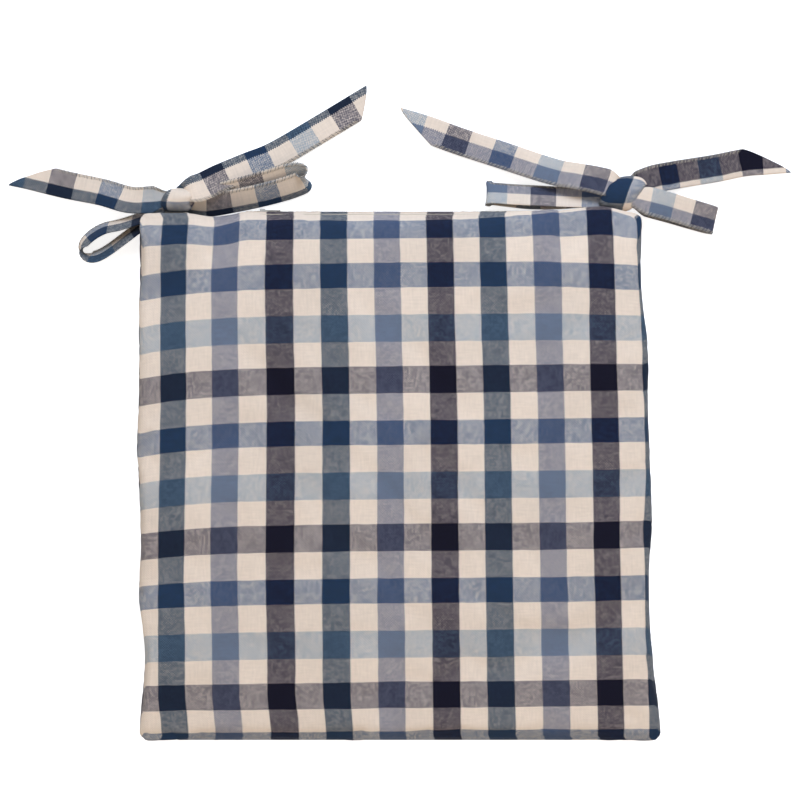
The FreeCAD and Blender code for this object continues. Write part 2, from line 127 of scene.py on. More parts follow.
def check_cotton(name):
    """Yarn-dyed cotton canvas: matt, heathered where light and dark yarns cross, a thread relief."""
    material, tree, shader = new_material(
        name, roughness=0.9, sheen_weight=0.05, sheen_roughness=0.5, specular_ior_level=0.12
    )
    uv = add(tree, "ShaderNodeUVMap", uv_map="cloth")
    xyz = add(tree, "ShaderNodeSeparateXYZ", {0: uv})
    # the yarns wander a little, so that the stripes' edges are not ruled lines
    noise = add(tree, "ShaderNodeTexNoise", {"Vector": uv, "Scale": 1 / WANDER_LENGTH, "Detail": 2.0})
    centred = add(tree, "ShaderNodeMath", {0: noise, 1: 0.5}, operation="SUBTRACT")
    shift = add(tree, "ShaderNodeMath", {0: centred, 1: WANDER}, operation="MULTIPLY")
    u = add(tree, "ShaderNodeMath", {0: xyz.outputs[0], 1: shift}, operation="ADD")
    v = add(tree, "ShaderNodeMath", {0: xyz.outputs[1], 1: shift}, operation="SUBTRACT")
    # the crossing threads: positive where the warp lies on top
    waves = []
    for place in (u, v):
        angle = add(tree, "ShaderNodeMath", {0: place, 1: math.pi / THREAD}, operation="MULTIPLY")
        waves.append(add(tree, "ShaderNodeMath", {0: angle}, operation="SINE"))
    crossing = add(tree, "ShaderNodeMath", {0: waves[0], 1: waves[1]}, operation="MULTIPLY")
    # the saw-tooth edge of a stripe: every second weft thread carries it half a thread further
    tooth = add(tree, "ShaderNodeMath", {0: waves[1], 1: 0.5 * THREAD}, operation="MULTIPLY")
    toothed_u = add(tree, "ShaderNodeMath", {0: u, 1: tooth}, operation="ADD")
    yarns = [stripes(tree, toothed_u, STRIPE, WARP), stripes(tree, v, ROW, WEFT)]
    warp_tone, weft_tone = [add(tree, "ShaderNodeGamma", {0: yarn, 1: 1 / EYE}) for yarn in yarns]
    # slubs: single yarns are thicker or thinner for some millimetres of their length
    slubs = []
    for squeeze in ((1.0, SLUB_SQUEEZE, 1.0), (SLUB_SQUEEZE, 1.0, 1.0)):
        drawn = add(tree, "ShaderNodeMapping", {0: uv, 3: squeeze})
        slubs.append(add(tree, "ShaderNodeTexNoise", {"Vector": drawn, "Scale": 1 / SLUB_WIDTH, "Detail": 1.0}))
    thicker_warp = add(tree, "ShaderNodeMath", {0: slubs[0], 1: slubs[1]}, operation="SUBTRACT")
    slub = add(tree, "ShaderNodeMath", {0: slubs[0], 1: slubs[1]}, operation="ADD")
    # heather: from one crossing to the next more of the warp or more of the weft shows
    cell = add(tree, "ShaderNodeVectorMath", {0: uv, 1: (FLECK, FLECK, FLECK)}, operation="SNAP")
    fleck = add(tree, "ShaderNodeTexWhiteNoise", {"Vector": cell})
    more_or_less = add(tree, "ShaderNodeMath", {0: fleck, 1: 0.5}, operation="SUBTRACT")
    share = add(tree, "ShaderNodeMath", {0: crossing, 1: CROSSING, 2: WARP_SHARE}, operation="MULTIPLY_ADD")
    share = add(tree, "ShaderNodeMath", {0: more_or_less, 1: HEATHER, 2: share}, operation="MULTIPLY_ADD")
    share = add(tree, "ShaderNodeMath", {0: thicker_warp, 1: SLUB_SHARE, 2: share}, operation="MULTIPLY_ADD")
    share = add(tree, "ShaderNodeClamp", {0: share})
    mixed = add(tree, "ShaderNodeMix", {0: share, 6: weft_tone, 7: warp_tone}, data_type="RGBA").outputs[2]
    # slubs and clouds in the dye make it a little lighter or darker
    cloud = add(tree, "ShaderNodeTexNoise", {"Vector": uv, "Scale": 1 / CLOUD, "Detail": 3.0})
    light = add(tree, "ShaderNodeMath", {0: slub, 1: 0.045, 2: 0.915}, operation="MULTIPLY_ADD")
    light = add(tree, "ShaderNodeMath", {0: cloud, 1: 0.08, 2: light}, operation="MULTIPLY_ADD")
    shaded = add(tree, "ShaderNodeHueSaturation", {"Color": mixed, "Value": light})
    colour = add(tree, "ShaderNodeGamma", {0: shaded, 1: EYE})
    tree.links.new(colour.outputs[0], shader.inputs["Base Color"])
    relief = add(tree, "ShaderNodeMath", {0: crossing, 1: 0.5}, operation="MULTIPLY")
    relief = add(tree, "ShaderNodeMath", {0: slub, 1: 0.8, 2: relief}, operation="MULTIPLY_ADD")
    bump = add(tree, "ShaderNodeBump", {"Height": relief, "Strength": 0.35, "Distance": 0.25 * MM})
    tree.links.new(bump.outputs[0], shader.inputs["Normal"])
    return material


def fine_weave(name, colour, dark, pitch, sheen=0.1):
    """Close woven polyester: tiny ribs both ways, a soft gloss, thread by thread shading."""
    material, tree, shader = new_material(name, roughness=0.62, sheen_weight=sheen, specular_ior_level=0.35)
    place = add(tree, "ShaderNodeTexCoord").outputs["Object"]
    ribs = {"Vector": place, "Scale": WAVE_LENGTH / pitch}
    warp = add(tree, "ShaderNodeTexWave", {**ribs, "Distortion": 0.6}, bands_direction="X").outputs["Fac"]
    weft = add(tree, "ShaderNodeTexWave", ribs, bands_direction="Z").outputs["Fac"]
    mesh = add(tree, "ShaderNodeMath", {0: warp, 1: weft}, operation="MULTIPLY")
    mottle = add(tree, "ShaderNodeTexNoise", {"Vector": place, "Scale": 1 / (3 * MM), "Detail": 3.0})
    uneven = add(tree, "ShaderNodeMath", {0: mottle, 1: 0.5}, operation="MULTIPLY")
    share = add(tree, "ShaderNodeMath", {0: mesh, 1: 0.6, 2: uneven}, operation="MULTIPLY_ADD")
    mixed = add(tree, "ShaderNodeMix", {0: share, 6: linear(dark), 7: linear(colour)}, data_type="RGBA")
    tree.links.new(mixed.outputs[2], shader.inputs["Base Color"])
    bump = add(tree, "ShaderNodeBump", {"Height": mesh, "Strength": 0.4, "Distance": 0.15 * MM})
    tree.links.new(bump.outputs[0], shader.inputs["Normal"])
    return material


def spun_thread(name, colour, dark):
    """Spun polyester sewing thread: two plies twisted together, slightly hairy, so matt with a soft edge."""
    material, tree, shader = new_material(name, roughness=0.75, sheen_weight=0.25, specular_ior_level=0.3)
    place = add(tree, "ShaderNodeTexCoord").outputs["Object"]
    plies = {"Vector": place, "Scale": WAVE_LENGTH / (0.5 * MM), "Distortion": 1.5}
    # the twist paints the grooves between the plies darker: painted shade; the lint on top adds random tone
    twist = add(tree, "ShaderNodeTexWave", plies, bands_direction="DIAGONAL").outputs["Fac"]
    lint = add(tree, "ShaderNodeTexNoise", {"Vector": place, "Scale": 1 / (2 * MM), "Detail": 3.0})
    hairy = add(tree, "ShaderNodeMath", {0: lint, 1: 0.6}, operation="MULTIPLY")
    share = add(tree, "ShaderNodeMath", {0: twist, 1: 0.45, 2: hairy}, operation="MULTIPLY_ADD")
    mixed = add(tree, "ShaderNodeMix", {0: share, 6: linear(dark), 7: linear(colour)}, data_type="RGBA")
    tree.links.new(mixed.outputs[2], shader.inputs["Base Color"])
    return material


def nickel_plate(name):
    """Zinc die casting with nickel plate: satin from tumbling, brighter where it is rubbed."""
    material, tree, shader = new_material(name, metallic=1.0)
    place = add(tree, "ShaderNodeTexCoord").outputs["Object"]
    rub = add(tree, "ShaderNodeTexNoise", {"Vector": place, "Scale": 1 / (1.6 * MM), "Detail": 4.0})
    rough = add(tree, "ShaderNodeMapRange", {"Value": rub, "To Min": 0.24, "To Max": 0.46})
    tree.links.new(rough.outputs[0], shader.inputs["Roughness"])
    mixed = add(tree, "ShaderNodeMix", {0: rub, 6: linear("#A9A8A4"), 7: linear("#D2D0CA")}, data_type="RGBA")
    tree.links.new(mixed.outputs[2], shader.inputs["Base Color"])
    grain = add(tree, "ShaderNodeTexNoise", {"Vector": place, "Scale": 1 / (0.3 * MM), "Detail": 2.0})
    bump = add(tree, "ShaderNodeBump", {"Height": grain, "Strength": 0.12, "Distance": 0.05 * MM})
    tree.links.new(bump.outputs[0], shader.inputs["Normal"])
    return material


def nylon(name):
    """Nylon filament of a coil zip: a little see-through, so soft edged and faintly glossy."""
    material, tree, shader = new_material(name, roughness=0.38, coat_weight=0.1, specular_ior_level=0.5)
    place = add(tree, "ShaderNodeTexCoord").outputs["Object"]
    tint = add(tree, "ShaderNodeTexNoise", {"Vector": place, "Scale": 1 / (4 * MM), "Detail": 2.0})
    mixed = add(tree, "ShaderNodeMix", {0: tint, 6: linear("#CFC2AC"), 7: linear("#EBE2D3")}, data_type="RGBA")
    tree.links.new(mixed.outputs[2], shader.inputs["Base Color"])
    return material


def open_cell_foam(name):
    """Cut polyurethane foam: cream, matt, full of cells, drawn at 1.4 mm so that they show."""
    material, tree, shader = new_material(name, roughness=0.95, specular_ior_level=0.15)
    place = add(tree, "ShaderNodeTexCoord").outputs["Object"]
    cell = add(tree, "ShaderNodeTexVoronoi", {"Vector": place, "Scale": 1 / (1.4 * MM)}).outputs["Distance"]
    # the middles of the cells are painted darker: painted shade in the pores
    mixed = add(tree, "ShaderNodeMix", {0: cell, 6: linear("#C9BC95"), 7: linear("#F0E6C6")}, data_type="RGBA")
    tree.links.new(mixed.outputs[2], shader.inputs["Base Color"])
    bump = add(tree, "ShaderNodeBump", {"Height": cell, "Strength": 0.6, "Distance": 0.5 * MM})
    tree.links.new(bump.outputs[0], shader.inputs["Normal"])
    return material


COVER_CLOTH = check_cotton("yarn_dyed_check_cover")
TIE_CLOTH = check_cotton("yarn_dyed_check_ties")
CREAM_THREAD = spun_thread("cream_overlock_thread", "#E6DCCB", "#A79B88")
DARK_THREAD = spun_thread("dark_overlock_thread", "#86817A", "#56545A")
ZIP_TAPE = fine_weave("cream_zip_tape", "#E4DAC8", "#B9AD98", 0.8 * MM)
LABEL_SATIN = fine_weave("white_satin_label", "#F4F3EF", "#D9D7D1", 0.5 * MM, sheen=0.2)
ZIP_METAL = nickel_plate("nickel_plated_zip_parts")
ZIP_COIL = nylon("nylon_zip_coil")
FOAM = open_cell_foam("cut_foam")


# ---- meshes ----


def mesh_piece(name, points, faces, materials, uvs=None, merge=False, picks=None):
    """A smooth-shaded mesh object at the origin. uvs holds a cloth place in metres for each point."""
    mesh = bpy.data.meshes.new(name)
    mesh.from_pydata([tuple(map(float, p)) for p in points], [], faces)
    if uvs is not None:
        layer = mesh.uv_layers.new(name="cloth")
        corners = np.zeros(len(mesh.loops), np.int64)
        mesh.loops.foreach_get("vertex_index", corners)
        layer.data.foreach_set("uv", np.asarray(uvs, np.float32)[corners].ravel())
    for material in materials:
        mesh.materials.append(material)
    if picks is not None:
        mesh.polygons.foreach_set("material_index", picks)
    if merge:
        work = bmesh.new()
        work.from_mesh(mesh)
        bmesh.ops.remove_doubles(work, verts=work.verts, dist=1e-6)
        work.to_mesh(mesh)
        work.free()
    mesh.polygons.foreach_set("use_smooth", [True] * len(mesh.polygons))
    mesh.update()
    piece = bpy.data.objects.new(name, mesh)
    bpy.context.scene.collection.objects.link(piece)
    return piece


def apply_modifier(piece, kind, **settings):
    modifier = piece.modifiers.new(kind.title(), kind)
    for key, setting in settings.items():
        setattr(modifier, key, setting)
    bpy.ops.object.select_all(action="DESELECT")
    piece.select_set(True)
    bpy.context.view_layer.objects.active = piece
    bpy.ops.object.modifier_apply(modifier=modifier.name)


def grid_faces(rows, columns, first=0, closed=False, flip=False):
    """Quads between rows of points, the columns joined into a ring when closed."""
    faces = []
    for i in range(rows - 1):
        for j in range(columns if closed else columns - 1):
            a = first + i * columns + j
            b = first + i * columns + (j + 1) % columns
            quad = (a, b, b + columns, a + columns)
            faces.append(quad[::-1] if flip else quad)
    return faces


def smooth(x):
    """A step that eases from 0 to 1 while x goes from 0 to 1."""
    x = np.clip(x, 0, 1)
    return x * x * (3 - 2 * x)


def hill(x, peak, width):
    """1 at the peak, falling off evenly to both sides."""
    return np.exp(-(((x - peak) / width) ** 2))


# ---- the pad ----

cover_low, cover_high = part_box("top_cover")
HALF_DEPTH = (cover_high.y - cover_low.y) / 2
PAD_TOP = cover_high.z
SEAM = cover_low.z
PAD_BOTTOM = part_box("bottom_cover")[0].z
tape_low, tape_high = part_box("zip_upper_tape")
SLIT_HALF = (tape_high.x - tape_low.x) / 2
SLIT_GAPE = 3.6 * MM  # how far each lip of the slit stands from the seam
LEFT_EDGE = -198.4 * MM
RIGHT_EDGE = 190 * MM  # at the back
RIGHT_SLANT = 12 * MM  # how much further out it is at the front
FIRST_ROW = 84.15 * MM  # a run of rows begins this far behind the pad's middle
CORNER = 6 * MM  # radius of the corners in plan
FRONT_EASE = 1.8 * MM  # the cover stands this much inside the design at the front
SIDES = ("left", "right", "back", "front")
# where the walls begin, in from the outline
EDGE = dict(left=2.6 * MM, right=3.6 * MM, back=4 * MM, front=3.5 * MM)
# the rolled edges: how far each reaches in plan and how far it falls
TOP_ROLL = dict(left=(6 * MM, 9 * MM), right=(9 * MM, 11 * MM), back=(26 * MM, 15 * MM), front=(15 * MM, 12 * MM))
BOTTOM_ROLL = dict.fromkeys(SIDES, (8 * MM, 8 * MM))
ROLL_BLEND = 1.4  # how two rolled edges melt into each other at a corner
CROWN = 1.0 * MM  # how much the top falls from the middle to the edges
DIVISIONS = 140  # faces along each side of a panel
CORNER_REACH = 45 * MM  # how far from a corner one wall's roll starts to change into the next one's
# down a wall: share of its height, swell and rise in millimetres. The last two turn in at the seam.
WALL = ((0.25, 0.6, 0), (0.5, 0.9, 0), (0.75, 0.7, 0), (0.92, 0.1, 0), (1.0, -1.2, 0), (1.0, -3.6, 0.4))
INNER_X, INNER_Y = 0.185, 0.190  # the walls swell away from this rectangle
CLOTH_THICK = 0.6 * MM
RELAX_CAP = 1.4 * MM  # the cloth simulation moves no point further
ZIP_GROOVE = 5.4 * MM  # the foam stays this far off the back wall


def left_side(y):
    """The left side is almost straight. The cover is a little slack, so it bulges by the front corner."""
    waist = 3.6 * MM * hill(y, -0.140, 0.030)
    bulge = 1.4 * MM * hill(y, -0.183, 0.016)
    narrowing = 2.2 * MM * smooth((0.060 - y) / 0.160) + 1.2 * MM * smooth((-0.150 - y) / 0.030)
    return LEFT_EDGE + waist - bulge + narrowing


def right_side(y):
    """The right side slants outwards to the front and waves a little."""
    slant = RIGHT_EDGE + (HALF_DEPTH - y) / (2 * HALF_DEPTH) * RIGHT_SLANT
    waves = 1.2 * MM * hill(y, 0.095, 0.030) - 1.6 * MM * hill(y, 0.155, 0.030)
    waist = 4.0 * MM * hill(y, -0.105, 0.070) * smooth((y + 0.200) / 0.050)
    return slant + waves - waist


def back_side(x):
    """The right tie pulls the back edge out, the left one dents it, and the zip fills it out in between."""
    tent = 1.5 * MM * hill(x, 0.160, 0.022)
    dent = 2.6 * MM * hill(x, -0.142, 0.014)
    full = 1.3 * MM * (1 - smooth((np.abs(x) - 0.118) / (10 * MM)))
    return HALF_DEPTH - 0.6 * MM + full + tent - dent


def plan(p, q, inset):
    """Sharp and rounded place in plan of a point whose shares of the width and depth run from -1 to 1."""
    y_front = -(HALF_DEPTH - inset["front"])
    y_back = HALF_DEPTH - inset["back"]
    y = np.where(q >= 0, q * y_back, -q * y_front)
    left = left_side(y) + inset["left"]
    right = right_side(y) - inset["right"]
    middle, half = (left + right) / 2, (right - left) / 2
    x = middle + p * half
    over_x = np.abs(x - middle) - (half - CORNER)
    over_y = np.abs(y) - (np.where(q >= 0, y_back, -y_front) - CORNER)
    corner = (over_x > 0) & (over_y > 0)
    reach = np.maximum(over_x, over_y)
    length = np.maximum(np.hypot(over_x, over_y), 1e-9)
    round_x = np.where(corner, middle + np.sign(x - middle) * (half - CORNER + over_x / length * reach), x)
    round_y = np.where(corner, y + np.sign(y) * (over_y / length * reach - over_y), y)
    shift = (back_side(x) - HALF_DEPTH) * smooth(q * 3 - 2) + FRONT_EASE * smooth(-q * 3 - 2)
    return x, y, round_x, round_y + shift


def cloth_place(x, y):
    """Where a point of the top lies on the cloth, which sits slightly off grain and sags at the left side."""
    start = -178.2 * MM - 1.6 * MM * np.clip((y - 0.008) / 0.176, 0, 1)
    pitch = STRIPE - 0.00145 * y
    behind = smooth((y - 0.150) / 0.040)
    # how far the columns have slipped to the left
    drift = 3.2 * MM * hill(x, -0.130, 0.055) * (1 - 0.5 * behind) * (1 - 0.6 * smooth((-0.060 - y) / 0.080))
    drift = drift + 2.5 * MM * hill(x, 0.192, 0.020) * smooth((0.010 - y) / 0.060)
    drift = drift + 2.0 * MM * smooth((0.090 - y) / 0.200)
    drift = drift - 2.0 * MM * hill(x, 0.145, 0.030) * smooth((y - 0.080) / 0.080)
    drift = drift - 2.3 * MM * smooth((-0.165 - y) / 0.030) * smooth((0.020 - x) / 0.100)
    u = (x + drift - start) / pitch * STRIPE
    # the height of the rows, used in place of y: they sink to the left side and bunch at both ends
    sag = 8.5 * MM * smooth((y + 0.230) / 0.280) * (1 - 0.6 * behind)
    level = y - 0.012 * (x - 0.0145) + sag * np.exp(-(x + 0.199) / 0.040)
    level = level + 4.0 * MM * hill(x, 0.190, 0.050) * hill(y, 0.150, 0.045)
    level = level + 8.0 * MM * np.clip((y - 0.160) / 0.040, 0, None) ** 2
    level = level - 3.5 * MM * np.clip((-0.172 - y) / 0.028, 0, None) ** 2
    v = len(WEFT) * ROW + FIRST_ROW - level
    return u, v


def undulation(x, y, amount):
    """Soft unevenness of cloth over foam, from a few long waves."""
    rng = np.random.default_rng(7)
    out = np.zeros_like(x)
    for length in (0.046, 0.058, 0.071, 0.090, 0.120):
        turn, phase = rng.uniform(0, 2 * math.pi, 2)
        out += np.sin((x * math.cos(turn) + y * math.sin(turn)) * 2 * math.pi / length + phase) * length
    return out * amount / 0.12


def fall(distance, reach, height):
    """How far a rolled edge has fallen at a distance from the outline."""
    share = np.clip(1 - distance / reach, 0, 1)
    return height * (1 - np.sqrt(1 - share * share))


def panel(name, roll, face, seam, up):
    """One half of the cover: a face that falls over rolled edges and runs along the wall to the seam.

    up is 1 for the top and -1 for the underside.
    """
    share = np.linspace(-1, 1, DIVISIONS + 1)
    p, q = np.meshgrid(share, share)
    sharp_x, sharp_y, x, y = plan(p, q, EDGE)
    distance = dict(
        left=sharp_x - left_side(sharp_y),
        right=right_side(sharp_y) - sharp_x,
        back=HALF_DEPTH - sharp_y,
        front=HALF_DEPTH + sharp_y,
    )
    falls = sum(fall(distance[side], *roll[side]) ** ROLL_BLEND for side in SIDES) ** (1 / ROLL_BLEND)
    crown = CROWN * (p**4 + q**4) / 2 if up > 0 else 0
    calm = (1 - p**6) * (1 - q**6)
    z = face - up * (falls + crown) + (undulation(x, y, 0.5 * MM) * calm if up > 0 else 0)
    u, v = cloth_place(sharp_x, sharp_y)
    points = [np.stack([x, y, z], -1).reshape(-1, 3)]
    uvs = [np.stack([u, v], -1).reshape(-1, 2)]
    faces = grid_faces(DIVISIONS + 1, DIVISIONS + 1, flip=up < 0)
    first = (DIVISIONS + 1) ** 2
    one = np.ones(DIVISIONS + 1)
    walls = {
        "left": (-one, -share, -1, 0, z[::-1, 0]),
        "right": (one, share, 1, 0, z[:, -1]),
        "back": (-share, one, 0, 1, z[-1, ::-1]),
        "front": (share, -one, 0, -1, z[0]),
    }
    # the height each roll still has to fall where the wall's own rings take over
    rest = {}
    for side in SIDES:
        reach, height = roll[side]
        rest[side] = height * math.sqrt(1 - (1 - EDGE[side] / reach) ** 2) * 0.8
    start = math.radians(35)
    for wall, (wp, wq, way_x, way_y, brink) in walls.items():
        upright = wall in ("left", "right")
        outer_x, outer_y, _, _ = plan(wp, wq, dict.fromkeys(SIDES, 0.0))
        if upright:
            neighbour = np.where(wq > 0, rest["back"], rest["front"])
            to_corner = HALF_DEPTH - np.abs(outer_y)
        else:
            neighbour = np.where(wp > 0, rest["right"], rest["left"])
            to_corner = np.minimum(outer_x - left_side(outer_y), right_side(outer_y) - outer_x)
        near = 1 - smooth(to_corner / CORNER_REACH)
        drop = rest[wall] + ((rest[wall] + neighbour) * 0.3 - rest[wall]) * near
        lip = np.full(DIVISIONS + 1, seam, float)
        if wall == "back":
            lip = seam + up * SLIT_GAPE * (1 - smooth((np.abs(outer_x) - SLIT_HALF) / (6 * MM)))
        rings, travel, marks = [], np.zeros(DIVISIONS + 1), []
        for angle in np.linspace(start, math.pi / 2, 7):
            keep = (1 - math.sin(angle)) / (1 - math.sin(start))
            down = 1 - math.cos(angle) / math.cos(start)
            rx, ry, bx, by = plan(wp, wq, {side: EDGE[side] * keep for side in SIDES})
            rings.append(np.stack([bx, by, brink - up * drop * down], -1))
            if len(rings) == 1:
                base_u, base_v = cloth_place(rx, ry)
        brink_low = rings[-1][:, 2]
        edge = rings[-1][:, :2]
        inner = [np.clip(edge[:, 0], -INNER_X, INNER_X), np.clip(edge[:, 1], -INNER_Y, INNER_Y)]
        out = edge - np.stack(inner, -1)
        out /= np.linalg.norm(out, axis=1)[:, None]
        for down, swell, rise in WALL:
            height = brink_low + (lip - brink_low) * down + up * rise * MM
            rings.append(np.column_stack([edge + out * swell * MM, height]))
        for i, ring in enumerate(rings):
            travel = travel + (np.linalg.norm(ring - rings[i - 1], axis=1) if i else 0)
            marks.append(travel)
        marks = np.array(marks)
        points.append(np.concatenate(rings))
        uvs.append(np.stack([base_u + way_x * marks, base_v - way_y * marks], -1).reshape(-1, 2))
        faces += grid_faces(len(rings), DIVISIONS + 1, first=first, flip=up > 0)
        first += len(rings) * (DIVISIONS + 1)
    points = np.concatenate(points)
    if up > 0:
        # the right tie lifts the upper edge beside it and draws it out
        reach = np.where(points[:, 0] < 0.157, 0.060, 0.024)
        draw = 6.0 * MM * hill(points[:, 0], 0.157, reach) * smooth((points[:, 1] - 0.168) / 0.030)
        points[:, 1] += draw * smooth((points[:, 2] - 0.028) / 0.005)
        points[:, 2] += draw * 0.35
    return mesh_piece(name, points, faces, [COVER_CLOTH], np.concatenate(uvs), merge=True)


def relax_cloth(piece, frames=12):
    """Let the panel settle as cloth: light pressure from the foam, its seam held, no point moved past the cap."""
    mesh = piece.data
    rest = np.zeros(len(mesh.vertices) * 3, np.float32)
    mesh.vertices.foreach_get("co", rest)
    rest = rest.reshape(-1, 3)
    held = piece.vertex_groups.new(name="held")
    held.add([int(i) for i in np.nonzero(np.abs(rest[:, 2] - SEAM) < 5 * MM)[0]], 1.0, "REPLACE")
    cloth = piece.modifiers.new("Cloth", "CLOTH")
    canvas = dict(
        quality=5,
        mass=0.25,
        use_pressure=True,
        uniform_pressure_force=1.2,
        tension_stiffness=18,
        compression_stiffness=18,
        shear_stiffness=8,
        bending_stiffness=0.6,
        shrink_min=-0.006,
        vertex_group_mass="held",
    )
    for key, setting in canvas.items():
        setattr(cloth.settings, key, setting)
    cloth.settings.effector_weights.gravity = 0
    cloth.collision_settings.use_collision = False
    cloth.point_cache.frame_end = frames
    scene = bpy.context.scene
    for step in range(1, frames + 1):
        scene.frame_set(step)
    now = np.zeros_like(rest).ravel()
    evaluated = piece.evaluated_get(bpy.context.evaluated_depsgraph_get())
    evaluated.data.vertices.foreach_get("co", now)
    move = now.reshape(-1, 3) - rest
    length = np.maximum(np.linalg.norm(move, axis=1), 1e-9)[:, None]
    piece.modifiers.remove(cloth)
    piece.vertex_groups.remove(held)
    settled = rest + move * np.minimum(1, RELAX_CAP / length)
    mesh.vertices.foreach_set("co", settled.astype(np.float32).ravel())
    mesh.update()
    scene.frame_set(1)


def make_cover():
    top = panel("cover_top_panel", TOP_ROLL, PAD_TOP + 0.4 * MM, SEAM + 0.15 * MM, 1)
    bottom = panel("cover_bottom_panel", BOTTOM_ROLL, PAD_BOTTOM + 0.2 * MM, SEAM - 0.15 * MM, -1)
    relax_cloth(top)
    for piece, node in ((top, "top_cover"), (bottom, "bottom_cover")):
        apply_modifier(piece, "SOLIDIFY", thickness=CLOTH_THICK, offset=-1.0)
        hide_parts(node)
        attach(piece, "pad")


def make_foam():
    """The foam slab: the same outline as the cover, a little smaller, grooved behind the zip."""
    divisions = 40
    share, full = np.linspace(-1, 1, divisions + 1), np.ones(divisions + 1)
    walls = [(-share, full), (-full, -share), (share, -full), (full, share)]
    p, q = [np.concatenate([wall[k][:-1] for wall in walls]) for k in (0, 1)]
    z_low, z_high = PAD_BOTTOM + 1.6 * MM, PAD_TOP - 2.2 * MM
    # from the underside up: how far each ring stands in from the outline in millimetres, and its height
    profile = [
        (30, z_low),
        (11, z_low),
        (7, z_low + 1.2 * MM),
        (5, z_low + 4 * MM),
        (4.5, SEAM - 6 * MM),
        (4.5, SEAM),
        (4.5, SEAM + 5 * MM),
        (6, z_high - 7 * MM),
        (10, z_high - 2.4 * MM),
        (16, z_high - 0.5 * MM),
        (32, z_high),
    ]
    rings = []
    for reach, z in profile:
        back = reach + (10 if z > SEAM + 6 * MM else 2.5)
        inset = dict(left=reach * MM, right=reach * MM, back=back * MM, front=(reach + 4) * MM)
        _, _, x, y = plan(p, q, inset)
        rings.append(np.stack([x, np.minimum(y, HALF_DEPTH - ZIP_GROOVE), np.full_like(x, z)], -1))
    count = len(p)
    faces = grid_faces(len(rings), count, closed=True, flip=True)
    faces.append(tuple(range(count)))
    faces.append(tuple(reversed(range((len(rings) - 1) * count, len(rings) * count))))
    piece = mesh_piece("foam_slab", np.concatenate(rings), faces, [FOAM])
    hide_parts("foam_core")
    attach(piece, "pad")


# ---- straps ----

STRAP = 22 * MM
STRAP_THICK = 1.5 * MM
BAND_THICK = 1.4 * MM  # the strap where it is wrapped tight round a knot
LABEL_THICK = 0.175 * MM
SECTION = 18  # points round a strap
OVERLOCK_PITCH = 1.25 * MM
OVERLOCK_WIDTH = 2.6 * MM
TIP = 1.5 * MM  # the overlock stops this short of a cut end
BLEND_START, BLEND_END = 4 * MM, 24 * MM  # two places along a strap beside its knot


def spline(points, count):
    """A smooth line through the points, evenly spaced, with its length."""
    pts = np.array(points, float)
    pad = np.vstack([2 * pts[0] - pts[1], pts, 2 * pts[-1] - pts[-2]])
    fine = []
    for i in range(1, len(pad) - 2):
        a, b, c, d = pad[i - 1 : i + 3]
        t = np.linspace(0, 1, 40, endpoint=False)[:, None]
        fine.append(0.5 * (2 * b + (c - a) * t + (2 * a - 5 * b + 4 * c - d) * t**2 + (3 * b - a - 3 * c + d) * t**3))
    fine = np.vstack([*fine, pts[-1:]])
    steps = np.concatenate([[0], np.cumsum(np.linalg.norm(np.diff(fine[:, :3], axis=0), axis=1))])
    even = np.linspace(0, steps[-1], count)
    return np.stack([np.interp(even, steps, fine[:, k]) for k in range(fine.shape[1])], -1), steps[-1]


class Ribbon:
    """A folded strap that follows a line. It gives the place of any point on or beside its faces."""

    def __init__(self, points, across, neck=0.55, neck_length=16 * MM, both_ends=False, pleat=2.0 * MM):
        """points are places in metres; across are the directions of the strap's width at those points.

        neck is the share of its width that is left where the knot or the seam gathers it into pleats.
        """
        count = 16 * len(points)
        line, self.length = spline([(*place, *way) for place, way in zip(points, across)], count)
        self.s = np.linspace(0, self.length, count)
        self.centre = line[:, :3]
        tangent = np.gradient(self.centre, axis=0)
        tangent /= np.linalg.norm(tangent, axis=1)[:, None]
        side = line[:, 3:]
        side = side - (side * tangent).sum(1)[:, None] * tangent
        self.side = side / np.linalg.norm(side, axis=1)[:, None]
        self.normal = np.cross(tangent, self.side)
        self.neck, self.neck_length = neck, neck_length
        self.both_ends, self.pleat = both_ends, pleat

    def at(self, s, e, lift):
        """The place s along the strap, e from -1 to 1 across it, lifted off its middle along its normal."""
        s = np.clip(s, 0, self.length)
        centre, side, normal = [
            np.stack([np.interp(s, self.s, part[:, k]) for k in range(3)], -1)
            for part in (self.centre, self.side, self.normal)
        ]
        from_knot = np.minimum(s, self.length - s) if self.both_ends else s
        free = smooth(from_knot / self.neck_length)
        half = STRAP / 2 * (self.neck + (1 - self.neck) * free)
        fold = self.pleat * (1 - free) * np.cos(e * math.pi * 1.8 + 0.6)
        curl = 0.5 * MM * np.sin(s / (23 * MM) + 1.3 * e) * free * e
        place = centre + side * (e * half)[..., None] + normal * (lift + fold + curl)[..., None]
        place[..., 2] = np.maximum(place[..., 2], FLOOR + 0.2 * MM)
        return place

    def spot(self, s):
        """The middle of the strap at the place s along it."""
        return Vector(self.at(np.array([s]), np.zeros(1), np.zeros(1))[0])


